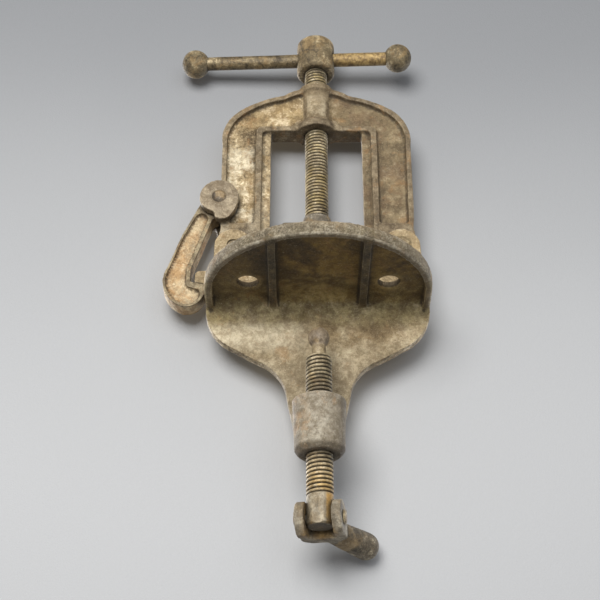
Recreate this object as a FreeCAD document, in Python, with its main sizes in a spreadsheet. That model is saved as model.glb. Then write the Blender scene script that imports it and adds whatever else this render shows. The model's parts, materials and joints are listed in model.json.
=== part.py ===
import FreeCAD, Part
import math
import os

# Portable clamp-on hinged pipe vise: a D-shaped bench casting with a jaw saddle and lugs, a hinged
# yoke that a hook latches shut, a screw with a sliding tommy bar, and a bench clamp screw below.
# Frame: the origin is midway between the two bench bolt holes, on the bench plane; +Z is up along
# the screw, +X to the right seen from the front, and -Y towards the person turning the bar.

V = FreeCAD.Vector
LONG = 60.0  # longer than any hole through a round part
doc = FreeCAD.newDocument("pipe_vise")

# ---------------------------------------------------------------- driving dimensions, millimetres
SIZES = {
    # bench plate and apron
    "plate_half_width": 72.0,
    "plate_front": 63.0,
    "plate_thickness": 9.0,
    "plate_lip": 5.2,
    "rim_round": 2.2,
    "cove_radius": 14.0,
    "recess_depth": 5.4,
    "pocket_depth": 6.4,
    "pocket_front": 49.0,
    "rib_spacing": 57.0,
    "rib_width": 5.2,
    "bolt_spacing": 88.0,
    "bolt_hole": 12.5,
    "bolt_pad": 21.0,
    "bolt_pad_height": 0.8,
    "apron_face": 27.0,
    "apron_thickness": 8.0,
    # bench clamp below the plate
    "clamp_axis_depth": 3.0,
    "clamp_boss_top": 75.8,
    "clamp_boss_bottom": 111.0,
    "clamp_boss_radius": 16.3,
    "arm_width": 23.0,
    "thread_radius": 7.9,
    "thread_clearance": 0.06,
    "ball_radius": 6.8,
    "ball_height": 33.4,
    "clamp_thread_top": 47.2,
    "clamp_screw_end": 154.0,
    # handle that folds on the clamp screw
    "handle_turn": 12.0,
    "lever_turn": 35.5,
    "fork_height": 149.0,
    "fork_radius": 10.4,
    "fork_gap": 15.4,
    "ear_thickness": 6.0,
    "lever_root_radius": 7.0,
    "lever_end_radius": 8.4,
    "lever_reach": 46.7,
    "lever_drop": 3.3,
    "handle_rivet_radius": 3.0,
    "rivet_head": 1.2,
    "heel_inset": 1.5,
    "heel_thickness": 8.0,
    "fork_back_radius": 18.4,
    # yoke plane, lugs and lower jaw
    "yoke_plane": 33.0,
    "yoke_thickness": 15.0,
    "yoke_side_gap": 0.5,
    "lug_spacing": 110.0,
    "lug_height": 44.0,
    "lug_radius": 12.5,
    "lug_depth": 15.0,
    "hinge_pin_radius": 5.0,
    "dowel_radius": 4.0,
    "dowel_set_back": 1.6,
    "saddle_half_width": 40.0,
    "saddle_top": 16.0,
    "saddle_wall_top": 29.0,
    "jaw_pin_height": 22.5,
    "jaw_pin_radius": 1.8,
    "lower_jaw_half_width": 33.0,
    "lower_jaw_top": 38.0,
    "jaw_depth": 14.6,
    "jaw_vee_half_width": 24.0,
    "jaw_vee_depth": 14.0,
    # yoke
    "yoke_half_width": 65.3,
    "window_half_width": 37.5,
    "window_top": 142.7,
    "rail_half_gap": 31.5,
    "rail_thickness": 9.0,
    "rail_bottom": 46.0,
    "nut_top": 182.5,
    "nut_radius": 10.6,
    "nut_lip_radius": 15.2,
    "web_recess": 3.4,
    # latch
    "latch_x": 65.5,
    "latch_z": 83.5,
    "ear_radius": 13.2,
    "ear_plate": 6.0,
    "hook_eye_radius": 11.6,
    "hook_thickness": 13.0,
    "toe_arc": 64.6,
    "catch_arc": 64.2,
    "latch_pin_radius": 4.0,
    # upper jaw and screw
    "upper_jaw_bottom": 42.0,
    "upper_jaw_top": 62.0,
    "upper_jaw_half_width": 31.0,
    "collar_radius": 9.6,
    "collar_base": 13.4,
    "collar_top": 73.0,
    "retaining_pin_radius": 1.5,
    "retaining_pin_offset": 7.6,
    "retaining_pin_height": 67.6,
    "screw_bottom": 58.2,
    "screw_top": 206.4,
    "head_bottom": 198.0,
    "head_top": 227.0,
    "head_radius": 13.8,
    "head_pin_radius": 1.6,
    "bar_height": 212.0,
    "bar_radius": 5.0,
    "bar_turn": -2.6,
    "bar_left": 87.5,
    "bar_right": 59.5,
    "bar_ball_radius": 10.3,
    "bar_ball_length": 20.2,
}

sheet = doc.addObject("Spreadsheet::Sheet", "Sizes")
for row, (alias, value) in enumerate(SIZES.items(), start=1):
    sheet.set(f"A{row}", alias)
    sheet.set(f"B{row}", str(value))
    sheet.setAlias(f"B{row}", alias)
doc.recompute()


def size(alias):
    """A driving dimension, read from the sheet."""
    return float(sheet.get(alias))


# ---------------------------------------------------------------- helpers
def new_body(name):
    body = doc.addObject("PartDesign::Body", name)
    body.Label = name
    doc.recompute()
    return body


def origin_plane(body, role):
    return next(f for f in body.Origin.OriginFeatures if f.Role == role)


def draw(sketch, path):
    """Add a closed outline: each entry is a corner (a, b), or (mid, end) for an arc to end."""
    start = path[0]
    for step in list(path[1:]) + [path[0]]:
        if isinstance(step[0], tuple):
            mid, end = step
            arc = Part.Arc(V(*start, 0), V(*mid, 0), V(*end, 0))
            sketch.addGeometry(arc, False)
        else:
            end = step
            if math.dist(start, end) > 1e-6:
                sketch.addGeometry(Part.LineSegment(V(*start, 0), V(*end, 0)), False)
        start = end


def new_sketch(body, name, role, offset, paths=(), circles=()):
    """A sketch parallel to an origin plane; offset is where the plane lies along its own axis."""
    sketch = body.newObject("Sketcher::SketchObject", name)
    sketch.AttachmentSupport = [(origin_plane(body, role), "")]
    sketch.MapMode = "FlatFace"
    along = -offset if role == "XZ_Plane" else offset
    sketch.AttachmentOffset = FreeCAD.Placement(V(0, 0, along), FreeCAD.Rotation())
    for path in paths:
        draw(sketch, path)
    for a, b, radius in circles:
        sketch.addGeometry(Part.Circle(V(a, b, 0), V(0, 0, 1), radius), False)
    return sketch


def extrude(body, name, kind, sketch, length, symmetric=False, reverse=False):
    """Pad or pocket a sketch by an expression of the sheet's sizes."""
    feature = body.newObject(f"PartDesign::{kind}", name)
    feature.Profile = sketch
    feature.SideType = "Symmetric" if symmetric else "One side"
    feature.Reversed = reverse
    feature.setExpression("Length", length)
    return feature


def pad_front(body, name, middle, thickness, paths=(), circles=()):
    """A plate parallel to XZ: middle is its mid-plane's Y, thickness an expression."""
    sketch = new_sketch(body, name + "_sketch", "XZ_Plane", middle, paths, circles)
    return extrude(body, name, "Pad", sketch, thickness, symmetric=True)


def cut_front(body, name, middle, thickness, paths=(), circles=()):
    sketch = new_sketch(body, name + "_sketch", "XZ_Plane", middle, paths, circles)
    return extrude(body, name, "Pocket", sketch, thickness, symmetric=True)


def drill_from_back(body, name, front, length, circles):
    """Blind holes along Y, from the back to the plane y = front; length is how far they run."""
    sketch = new_sketch(body, name + "_sketch", "XZ_Plane", front, circles=circles)
    return extrude(body, name, "Pocket", sketch, length)


def pad_up(body, name, bottom, height, paths=(), circles=()):
    sketch = new_sketch(body, name + "_sketch", "XY_Plane", bottom, paths, circles)
    return extrude(body, name, "Pad", sketch, height)


def cut_up(body, name, bottom, height, paths=(), circles=()):
    sketch = new_sketch(body, name + "_sketch", "XY_Plane", bottom, paths, circles)
    return extrude(body, name, "Pocket", sketch, height, reverse=True)


def turn_up(body, name, depth, profile):
    """Revolve a profile of (radius, z) about the vertical line x = 0, y = depth."""
    sketch = new_sketch(body, name + "_sketch", "XZ_Plane", depth, [profile])
    feature = body.newObject("PartDesign::Revolution", name)
    feature.Profile = sketch
    feature.ReferenceAxis = (sketch, ["V_Axis"])
    feature.Angle = 360
    return feature


def round_edges(body, name, feature, radius, wanted):
    """Fillet the edges of a feature for which wanted(edge) is true."""
    edges = [f"Edge{index}" for index, edge in enumerate(feature.Shape.Edges, start=1) if wanted(edge)]
    fillet = body.newObject("PartDesign::Fillet", name)
    fillet.Base = (feature, edges)
    fillet.setExpression("Radius", radius)
    return fillet


def rectangle(x_low, x_high, z_low, z_high):
    return [(x_low, z_low), (x_high, z_low), (x_high, z_high), (x_low, z_high)]


def mirrored(path):
    """The mirror image of an outline about the vertical axis."""
    turned = []
    for step in path:
        if isinstance(step[0], tuple):
            turned.append(((-step[0][0], step[0][1]), (-step[1][0], step[1][1])))
        else:
            turned.append((-step[0], step[1]))
    return turned


def both_sides(path):
    return [path, mirrored(path)]


def closed_about_axis(right_half):
    """An outline symmetric about the vertical axis, from its right half, top to bottom."""
    left_half = []
    ends = [step[1] if isinstance(step[0], tuple) else step for step in right_half]
    for index in range(len(right_half) - 1, 0, -1):
        previous = ends[index - 1]
        if isinstance(right_half[index][0], tuple):
            mid = right_half[index][0]
            left_half.append(((-mid[0], mid[1]), (-previous[0], previous[1])))
        else:
            left_half.append((-previous[0], previous[1]))
    last = ends[-1]
    return right_half + [(-last[0], last[1])] + left_half


def cylinder(name, radius, length, base, axis):
    """A Part::Cylinder with its radius and length bound to expressions."""
    item = doc.addObject("Part::Cylinder", name)
    item.Label = name
    item.setExpression("Radius", radius)
    item.setExpression("Height", length)
    item.Placement = FreeCAD.Placement(base, FreeCAD.Rotation(V(0, 0, 1), axis))
    return item


# ---------------------------------------------------------------- sizes used more than once
depth = size("yoke_plane")
half_width = size("plate_half_width")
front = -size("plate_front")
lip = size("plate_lip")
apron = size("apron_face")
apron_back = apron + size("apron_thickness")
plate_top = size("plate_thickness")
clamp_y = size("clamp_axis_depth")
boss_radius = size("clamp_boss_radius")
bore = size("thread_radius") + size("thread_clearance")
lug_x = size("lug_spacing") / 2
lug_z = size("lug_height")
lug_r = size("lug_radius")
jaw_depth = size("jaw_depth")
foot_half = size("yoke_thickness") / 2
cheek = size("lug_depth") - foot_half - size("yoke_side_gap")
cheek_middle = size("lug_depth") - cheek / 2
latch = (-size("latch_x"), size("latch_z"))
pin_front = depth - 3.0
head_pin_front = depth - size("thread_radius") + 1.0
head_pin_height = size("head_bottom") + 4.2
rail = size("rail_half_gap")
window = size("window_half_width")
window_top = size("window_top")


def below_latch(radius, x):
    """Height of the arc of this radius about the latch pivot, at x."""
    return latch[1] - math.sqrt(radius**2 - (x - latch[0]) ** 2)


# ---------------------------------------------------------------- base casting
def make_base_casting():
    body = new_body("base_casting")
    arc_centre = front + half_width
    plate = [
        (-half_width, apron_back),
        (-half_width, arc_centre),
        ((0, front), (half_width, arc_centre)),
        (half_width, apron_back),
    ]
    blank = pad_up(body, "plate", 0, "Sizes.plate_thickness", [plate])
    doc.recompute()

    def on_rim(edge):
        box = edge.BoundBox
        return box.ZMax < 1e-6 and box.YMin < apron_back - 1

    round_edges(body, "rim", blank, "Sizes.rim_round", on_rim)
    inner = half_width - lip
    recess = [
        (-inner, apron),
        (-inner, arc_centre),
        ((0, front + lip), (inner, arc_centre)),
        (inner, apron),
    ]
    cut_up(body, "underside_recess", 0, "Sizes.recess_depth", [recess])
    rib = size("rib_spacing") / 2
    rib_half = size("rib_width") / 2
    ribs = rectangle(rib - rib_half, rib + rib_half, front + lip + 2.8, apron)
    pad_up(body, "ribs", 0, "Sizes.recess_depth + 0.5", both_sides(ribs))
    pocket = rectangle(-rib + rib_half, rib - rib_half, -size("pocket_front"), apron)
    cut_up(body, "middle_pocket", 0, "Sizes.pocket_depth", [pocket])
    hole_x = size("bolt_spacing") / 2
    pads = [(side * hole_x, 0, size("bolt_pad") / 2) for side in (-1, 1)]
    pad_bottom = size("recess_depth") - size("bolt_pad_height")
    pad_up(body, "bolt_pads", pad_bottom, "Sizes.bolt_pad_height + 0.5", circles=pads)
    holes = [(side * hole_x, 0, size("bolt_hole") / 2) for side in (-1, 1)]
    cut_up(body, "bolt_holes", 0, "Sizes.plate_thickness", circles=holes)

    # Apron: hangs from the plate's back edge and narrows to the clamp arm.
    arm_end = -94.0
    apron_outline = closed_about_axis([
        (0, plate_top),
        (half_width, plate_top),
        (half_width, -2),
        ((68.2, -14.5), (58, -25.5)),
        (39, -36.5),
        ((26, -46), (20, -61)),
        (15, -86),
        (14, arm_end),
        (0, arm_end),
    ])
    apron_middle = (apron + apron_back) / 2
    pad_front(body, "apron", apron_middle, "Sizes.apron_thickness", [apron_outline])

    # Cove between the underside and the apron.
    cove = size("cove_radius")
    cove_middle = (apron - cove, size("pocket_depth") - cove)
    slant = cove * math.sqrt(0.5)
    cove_outline = [
        (apron + 1, size("pocket_depth") + 1),
        (cove_middle[0], size("pocket_depth") + 1),
        (cove_middle[0], size("pocket_depth")),
        ((cove_middle[0] + slant, cove_middle[1] + slant), (apron, cove_middle[1])),
        (apron + 1, cove_middle[1]),
    ]
    cove_sketch = new_sketch(body, "cove_sketch", "YZ_Plane", 0, [cove_outline])
    extrude(body, "cove", "Pad", cove_sketch, "2 * (Sizes.plate_half_width - Sizes.plate_lip)",
            symmetric=True)

    # Arm web and threaded boss for the bench clamp.
    boss_top = -size("clamp_boss_top")
    boss_bottom = -size("clamp_boss_bottom")
    web = [
        (clamp_y, boss_top - 2),
        (apron - 6, boss_top + 1),
        (apron + 2, boss_top + 12),
        (apron_back, boss_top + 12),
        (apron_back, arm_end + 4),
        (apron, arm_end - 8),
        (clamp_y + 8, boss_bottom + 6),
        (clamp_y, boss_bottom + 6),
    ]
    web_sketch = new_sketch(body, "arm_web_sketch", "YZ_Plane", 0, [web])
    extrude(body, "arm_web", "Pad", web_sketch, "Sizes.arm_width", symmetric=True)
    turn_up(body, "clamp_boss", clamp_y, [
        (0, boss_top),
        (boss_radius - 1, boss_top),
        (boss_radius, boss_top - 1),
        (boss_radius - 1.1, boss_bottom + 3),
        (boss_radius - 3.6, boss_bottom),
        (0, boss_bottom),
    ])
    cut_up(body, "clamp_bore", boss_bottom - 5, "Sizes.clamp_boss_bottom", circles=[(0, clamp_y, bore)])

    # Saddle that holds the lower jaw, and the bolster behind the apron that carries it.
    saddle = size("saddle_half_width")
    jaw_half = size("lower_jaw_half_width")
    saddle_top = size("saddle_top")
    wall_top = size("saddle_wall_top")
    pad_front(body, "saddle", depth, "2 * Sizes.jaw_depth", [
        [
            (-saddle, plate_top - 2),
            (saddle, plate_top - 2),
            (saddle, wall_top),
            (jaw_half, wall_top),
            (jaw_half, saddle_top),
            (-jaw_half, saddle_top),
            (-jaw_half, wall_top),
            (-saddle, wall_top),
        ]
    ])
    bolster = rectangle(-lug_x - lug_r + 1, lug_x + lug_r - 1, -6, plate_top)
    bolster_middle = (apron + depth + size("lug_depth")) / 2
    pad_front(body, "bolster", bolster_middle, "Sizes.yoke_plane + Sizes.lug_depth - Sizes.apron_face",
              [bolster])

    # Lugs either side of the saddle: a web under each yoke foot between two cheeks.
    foot_gap = size("yoke_side_gap")
    seat_top = lug_z - lug_r - 2 * foot_gap
    web_path = rectangle(saddle - 1, lug_x + lug_r, plate_top - 2, seat_top)
    pad_front(body, "foot_webs", depth, "Sizes.yoke_thickness + 2 * Sizes.yoke_side_gap + 1",
              both_sides(web_path))
    cheek_path = [
        (saddle - 1, plate_top - 2),
        (lug_x + lug_r + 1.5, plate_top - 2),
        (lug_x + lug_r, lug_z),
        ((lug_x, lug_z + lug_r), (lug_x - lug_r, lug_z)),
        (saddle - 1, wall_top),
    ]
    for name, side in (("front_cheeks", -1), ("back_cheeks", 1)):
        pad_front(body, name, depth + side * cheek_middle,
                  "Sizes.lug_depth - Sizes.yoke_thickness / 2 - Sizes.yoke_side_gap",
                  both_sides(cheek_path))

    # Catch on the left, under which the latch hook's toe swings.
    catch_left = -80.5
    catch_right = -lug_x - lug_r + 2
    catch_arc = size("catch_arc")
    catch_middle = (catch_left + catch_right) / 2
    catch = [
        (catch_right, seat_top),
        (catch_left + 2.5, seat_top),
        (catch_left, seat_top - 2.5),
        (catch_left, below_latch(catch_arc, catch_left)),
        ((catch_middle, below_latch(catch_arc, catch_middle)),
         (catch_right, below_latch(catch_arc, catch_right))),
    ]
    pad_front(body, "catch", depth, "Sizes.hook_thickness - 3", [catch])

    through = "2 * Sizes.lug_depth + 2"
    cut_front(body, "hinge_bore", depth, through,
              circles=[(lug_x, lug_z, size("hinge_pin_radius"))])
    cut_front(body, "dowel_bore", depth, through, circles=[(-lug_x, lug_z, size("dowel_radius"))])
    cut_front(body, "jaw_pin_bores", depth, through, circles=jaw_pin_circles())
    return body


# ---------------------------------------------------------------- lower jaw
def jaw_pin_circles():
    """The two key pins, half in the saddle's walls and half in the lower jaw's ends."""
    x = size("lower_jaw_half_width")
    return [(side * x, size("jaw_pin_height"), size("jaw_pin_radius")) for side in (-1, 1)]


def make_lower_jaw():
    body = new_body("lower_jaw")
    half = size("lower_jaw_half_width")
    top = size("lower_jaw_top")
    bottom = size("saddle_top")
    vee = size("jaw_vee_half_width")
    apex = top - size("jaw_vee_depth")
    outline = [
        (-half, bottom),
        (half, bottom),
        (half, top - 2),
        (half - 2, top),
        (vee, top),
        (0, apex),
        (-vee, top),
        (-half + 2, top),
        (-half, top - 2),
    ]
    pad_front(body, "block", depth, "2 * Sizes.jaw_depth", [outline])
    teeth = []
    count = 7
    for side in (-1, 1):
        for index in range(count):
            share = (index + 0.9) / (count + 0.6)
            x = side * vee * share
            z = apex + size("jaw_vee_depth") * share
            teeth.append([(x - side * 1.5, z + 0.6), (x + side * 0.2, z - 1.4), (x + side * 1.5, z + 2.0)])
    cut_front(body, "teeth", depth, "2 * Sizes.jaw_depth", teeth)
    cut_front(body, "jaw_pin_bores", depth, "2 * Sizes.lug_depth + 2", circles=jaw_pin_circles())
    return body


def make_lower_jaw_pins():
    pins = doc.addObject("Part::MultiFuse", "lower_jaw_pins")
    pins.Label = "lower_jaw_pins"
    shapes = []
    for index, (x, z, _) in enumerate(jaw_pin_circles()):
        base = V(x, depth - jaw_depth, z)
        pin = cylinder(f"jaw_pin_{index}", "Sizes.jaw_pin_radius", "2 * Sizes.jaw_depth", base, V(0, 1, 0))
        shapes.append(pin)
    pins.Shapes = shapes
    return pins


# ---------------------------------------------------------------- yoke
def make_yoke():
    body = new_body("yoke")
    half = size("yoke_half_width")
    nut_top = size("nut_top")
    nut = size("nut_radius")
    lip_radius = size("nut_lip_radius")
    corner = 3.0
    outline = closed_about_axis([
        (0, nut_top - 3),
        (nut + 1.3, nut_top - 3),
        ((16.5, 178.3), (23, 174.2)),
        ((36, 170.6), (50.5, 163.2)),
        ((62.2, 150.5), (half, 131)),
        (half, 76),
        (half - 0.8, 62),
        (lug_x + lug_r, lug_z),
        ((lug_x, lug_z - lug_r), (lug_x - lug_r, lug_z)),
        (lug_x - lug_r, 50),
        (window, 58),
        (window, window_top - corner),
        ((window - 0.293 * corner, window_top - 0.293 * corner), (window - corner, window_top)),
        (0, window_top),
    ])
    pad_front(body, "frame", depth, "Sizes.yoke_thickness", [outline])

    # One recessed web between the rims, from leg to leg over the crown, front and back.
    recess = closed_about_axis([
        (0, 176.5),
        (9.5, 176.0),
        ((16, 173.6), (22, 170.4)),
        ((35, 166.8), (47.0, 160.2)),
        ((58.0, 148.5), (61.5, 131)),
        (61.0, 66.5),
        (42.2, 66.5),
        (42.2, 141.0),
        ((40.9, 145.5), (36.5, 147.2)),
        (17.5, 147.2),
        ((15.5, 149.0), (14.0, 151.5)),
        (0, 151.5),
    ])
    for name, side in (("front_web", -1), ("back_web", 1)):
        middle = depth + side * foot_half
        cut_front(body, name, middle, "2 * Sizes.web_recess", [recess])

    rails = rectangle(rail, window + 1, size("rail_bottom"), window_top + 1)
    pad_front(body, "rails", depth, "Sizes.rail_thickness", both_sides(rails))

    # Threaded nut boss through the crown, with a lip at its foot.
    turn_up(body, "nut_boss", depth, [
        (0, window_top + 0.4),
        (lip_radius - 0.6, window_top + 0.4),
        (lip_radius, window_top + 1.4),
        (lip_radius - 0.4, window_top + 5.4),
        (nut + 0.8, window_top + 9),
        (nut, window_top + 12),
        (nut, nut_top - 8),
        (nut + 0.5, nut_top - 6.5),
        (nut + 2.2, nut_top - 4.8),
        (nut + 2.4, nut_top - 1),
        (nut + 1.4, nut_top),
        (0, nut_top),
    ])
    cut_up(body, "screw_bore", window_top - 4, "Sizes.nut_top - Sizes.window_top + 8",
           circles=[(0, depth, bore)])

    # Clevis for the latch hook: a slot through the leg between two ear plates.
    slot = size("hook_eye_radius") + 0.6
    cut_front(body, "latch_slot", depth, "Sizes.yoke_thickness", circles=[(latch[0], latch[1], slot)])
    ear = size("ear_radius")
    ear_path = [
        (latch[0] - ear, latch[1]),
        ((latch[0], latch[1] + ear), (latch[0] + ear, latch[1])),
        ((latch[0] + 12.4, latch[1] - 6.2), (latch[0] + 9.4, latch[1] - 12.6)),
        ((latch[0] + 6.2, latch[1] - 17.0), (latch[0] + 1.2, latch[1] - 18.2)),
        (latch[0] - 2.2, latch[1] - 17.0),
        (latch[0] - 3.4, latch[1] - ear + 1.2),
        ((latch[0] - 10.0, latch[1] - 8.7), (latch[0] - ear, latch[1])),
    ]
    for name, side in (("front_ear", -1), ("back_ear", 1)):
        middle = depth + side * (foot_half + size("ear_plate") / 2)
        pad_front(body, name, middle, "Sizes.ear_plate", [ear_path])

    through = "2 * Sizes.lug_depth + 2"
    cut_front(body, "latch_bore", depth, through,
              circles=[(latch[0], latch[1], size("latch_pin_radius"))])
    cut_front(body, "hinge_bore", depth, through,
              circles=[(lug_x, lug_z, size("hinge_pin_radius") + 0.06)])
    notch = size("dowel_radius") + 1.3
    notch_path = [
        (-lug_x - notch - 0.6, lug_z - lug_r - 2),
        (-lug_x + notch, lug_z - lug_r - 2),
        (-lug_x + notch, lug_z),
        ((-lug_x, lug_z + notch), (-lug_x - notch, lug_z)),
    ]
    cut_front(body, "dowel_notch", depth, through, [notch_path])
    return body


# ---------------------------------------------------------------- latch hook
def make_latch_hook():
    body = new_body("latch_hook")
    eye = size("hook_eye_radius")
    toe_arc = size("toe_arc")
    toe_right = -71.6
    notch_left = -82.6
    notch_middle = (toe_right + notch_left) / 2
    outline = [
        (latch[0] + eye, latch[1]),
        ((latch[0], latch[1] + eye), (latch[0] - eye, latch[1] + 1)),
        (-90.2, 56.2),
        (-98.2, 32),
        ((-98.4, 12), (-87.0, 2.3)),
        ((-79.5, 3.6), (-73.6, 10.6)),
        (toe_right, 14.0),
        (toe_right, below_latch(toe_arc, toe_right)),
        ((notch_middle, below_latch(toe_arc, notch_middle)),
         (notch_left, below_latch(toe_arc, notch_left))),
        (notch_left, 30),
        (-69.6, 69.5),
        ((latch[0] + 0.3, latch[1] - eye), (latch[0] + eye, latch[1])),
    ]
    pad_front(body, "link", depth, "Sizes.hook_thickness", [outline])
    channel = [
        (-73.2, 68.6),
        ((-75.6, 73.6), (-80.6, 72.0)),
        (-88.4, 55.4),
        (-96.4, 31.6),
        ((-96.2, 12.8), (-86.9, 4.6)),
        ((-80.2, 5.7), (-75.9, 11.6)),
        (-76.9, 14.9),
        (-82.4, 16.4),
        ((-84.7, 17.9), (-85.4, 20.6)),
        (-85.4, 30.6),
    ]
    for name, side in (("front_channel", -1), ("back_channel", 1)):
        middle = depth + side * size("hook_thickness") / 2
        cut_front(body, name, middle, "2 * Sizes.web_recess - 1.4", [channel])
    cut_front(body, "eye", depth, "2 * Sizes.lug_depth",
              circles=[(latch[0], latch[1], size("latch_pin_radius") + 0.06)])
    return body


# ---------------------------------------------------------------- upper jaw
def make_upper_jaw():
    body = new_body("upper_jaw")
    half = size("upper_jaw_half_width")
    bottom = size("upper_jaw_bottom")
    top = size("upper_jaw_top")
    vee = size("jaw_vee_half_width")
    apex = bottom + size("jaw_vee_depth")
    wing = window - 0.7
    outline = closed_about_axis([
        (0, top),
        (half - 9, top),
        (half, top - 5),
        (wing, top - 5),
        (wing, bottom + 3),
        (half, bottom),
        (vee, bottom),
        (0, apex),
    ])
    pad_front(body, "block", depth, "Sizes.yoke_thickness + 6", [outline])
    cheeks = closed_about_axis([
        (0, top),
        (half - 9, top),
        (half - 2, top - 5),
        (half - 2, bottom + 2),
        (half - 4, bottom),
        (vee, bottom),
        (0, apex),
    ])
    pad_front(body, "jaw_faces", depth, "2 * Sizes.jaw_depth", [cheeks])
    groove = rectangle(rail - 0.5, window + 2, bottom - 1, top + 1)
    cut_front(body, "rail_grooves", depth, "Sizes.rail_thickness + 0.6", both_sides(groove))
    teeth = []
    count = 7
    for side in (-1, 1):
        for index in range(count):
            share = (index + 0.9) / (count + 0.6)
            x = side * vee * share
            z = apex - size("jaw_vee_depth") * share
            teeth.append([(x - side * 1.5, z - 0.6), (x + side * 0.2, z + 1.4), (x + side * 1.5, z - 2.0)])
    cut_front(body, "teeth", depth, "2 * Sizes.jaw_depth", teeth)
    collar = size("collar_radius")
    collar_base = size("collar_base")
    collar_top = size("collar_top")
    turn_up(body, "collar", depth, [
        (0, top - 3),
        (collar_base + 1.5, top - 3),
        (collar_base + 1.0, top),
        (collar_base - 1.4, top + 2.5),
        (collar + 0.8, top + 5.5),
        (collar, collar_top - 1),
        (collar - 0.8, collar_top),
        (0, collar_top),
    ])
    cut_up(body, "screw_socket", size("screw_bottom") - 0.2, "Sizes.collar_top - Sizes.screw_bottom + 1",
           circles=[(0, depth, bore)])
    drill_from_back(body, "pin_bores", pin_front, "Sizes.collar_base + 6", retaining_pin_circles())
    return body


def retaining_pin_circles():
    """The two pins that run in the screw's groove, either side of its axis."""
    return [
        (side * size("retaining_pin_offset"), size("retaining_pin_height"), size("retaining_pin_radius"))
        for side in (-1, 1)
    ]


def make_jaw_retaining_pins():
    pins = doc.addObject("Part::MultiFuse", "jaw_retaining_pins")
    pins.Label = "jaw_retaining_pins"
    shapes = []
    for index, (x, z, _) in enumerate(retaining_pin_circles()):
        pin = cylinder(f"retaining_pin_{index}", "Sizes.retaining_pin_radius", "Sizes.collar_radius",
                       V(x, pin_front, z), V(0, 1, 0))
        shapes.append(pin)
    pins.Shapes = shapes
    return pins


# ---------------------------------------------------------------- main screw, head and tommy bar
def make_main_screw():
    body = new_body("main_screw")
    radius = size("thread_radius")
    turn_up(body, "shaft", depth, [
        (0, size("screw_bottom")),
        (radius - 1.2, size("screw_bottom")),
        (radius, size("screw_bottom") + 1.2),
        (radius, 65.9),
        (6.0, 65.9),
        (6.0, 69.3),
        (radius, 69.3),
        (radius, size("screw_top")),
        (0, size("screw_top")),
    ])
    drill_from_back(body, "head_pin_bore", head_pin_front, "4 * Sizes.thread_radius", [head_pin_circle()])
    return body


def head_pin_circle():
    return (0, head_pin_height, size("head_pin_radius"))


def bar_direction():
    turn = math.radians(size("bar_turn"))
    return V(math.cos(turn), math.sin(turn), 0)


def make_screw_head():
    body = new_body("screw_head")
    radius = size("head_radius")
    bottom = size("head_bottom")
    top = size("head_top")
    turn_up(body, "hub", depth, [
        (0, bottom),
        (radius - 1.5, bottom),
        (radius, bottom + 1.5),
        (radius, top - 4),
        ((radius - 1.2, top - 1.2), (radius - 4.5, top)),
        (0, top),
    ])
    cut_up(body, "screw_seat", bottom - 1, "Sizes.screw_top - Sizes.head_bottom + 1",
           circles=[(0, depth, size("thread_radius"))])
    drill_from_back(body, "head_pin_bore", head_pin_front, "2 * Sizes.head_radius", [head_pin_circle()])
    slot = cylinder("bar_hole", "Sizes.bar_radius + 0.08", f"{LONG} mm",
                    V(0, depth, size("bar_height")) - LONG / 2 * bar_direction(), bar_direction())
    body.Label = "screw_head_blank"
    head = doc.addObject("Part::Cut", "screw_head_drilled")
    head.Label = "screw_head"
    head.Base = body
    head.Tool = slot
    return head


def make_head_pin():
    return cylinder("head_pin", "Sizes.head_pin_radius", "Sizes.head_radius + Sizes.thread_radius - 2",
                    V(0, head_pin_front, head_pin_height), V(0, 1, 0))


def make_tommy_bar():
    left = size("bar_left") - 5
    base = V(0, depth, size("bar_height")) - left * bar_direction()
    return cylinder("tommy_bar", "Sizes.bar_radius", "Sizes.bar_left + Sizes.bar_right - 10", base,
                    bar_direction())


def make_bar_ball(name, reach):
    """A ball flattened along the bar, bored to fit over the bar's end."""
    ball = doc.addObject("Part::Ellipsoid", name + "_blank")
    ball.setExpression("Radius1", "Sizes.bar_ball_length / 2")
    ball.setExpression("Radius2", "Sizes.bar_ball_radius")
    ball.setExpression("Radius3", "Sizes.bar_ball_radius")
    ball.Angle1 = -90
    centre = V(0, depth, size("bar_height")) + reach * bar_direction()
    ball.Placement = FreeCAD.Placement(centre, FreeCAD.Rotation(V(0, 0, 1), bar_direction()))
    item = doc.addObject("Part::Cut", name)
    item.Label = name
    item.Base = ball
    item.Tool = doc.getObject("tommy_bar")
    return item


# ---------------------------------------------------------------- bench clamp
def make_clamp_ball_tip():
    body = new_body("clamp_ball_tip")
    radius = size("ball_radius")
    centre = -size("ball_height")
    neck = 4.4
    joint = centre - math.sqrt(radius**2 - neck**2)
    turn_up(body, "tip", clamp_y, [
        (0, centre + radius),
        ((radius, centre), (neck, joint)),
        (neck, -size("clamp_thread_top")),
        (0, -size("clamp_thread_top")),
    ])
    return body


def handle_axes():
    """Unit vectors along the handle's rivet and along its fork, seen from above."""
    turn = math.radians(size("handle_turn"))
    return V(math.cos(turn), -math.sin(turn), 0), V(math.sin(turn), math.cos(turn), 0)


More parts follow.
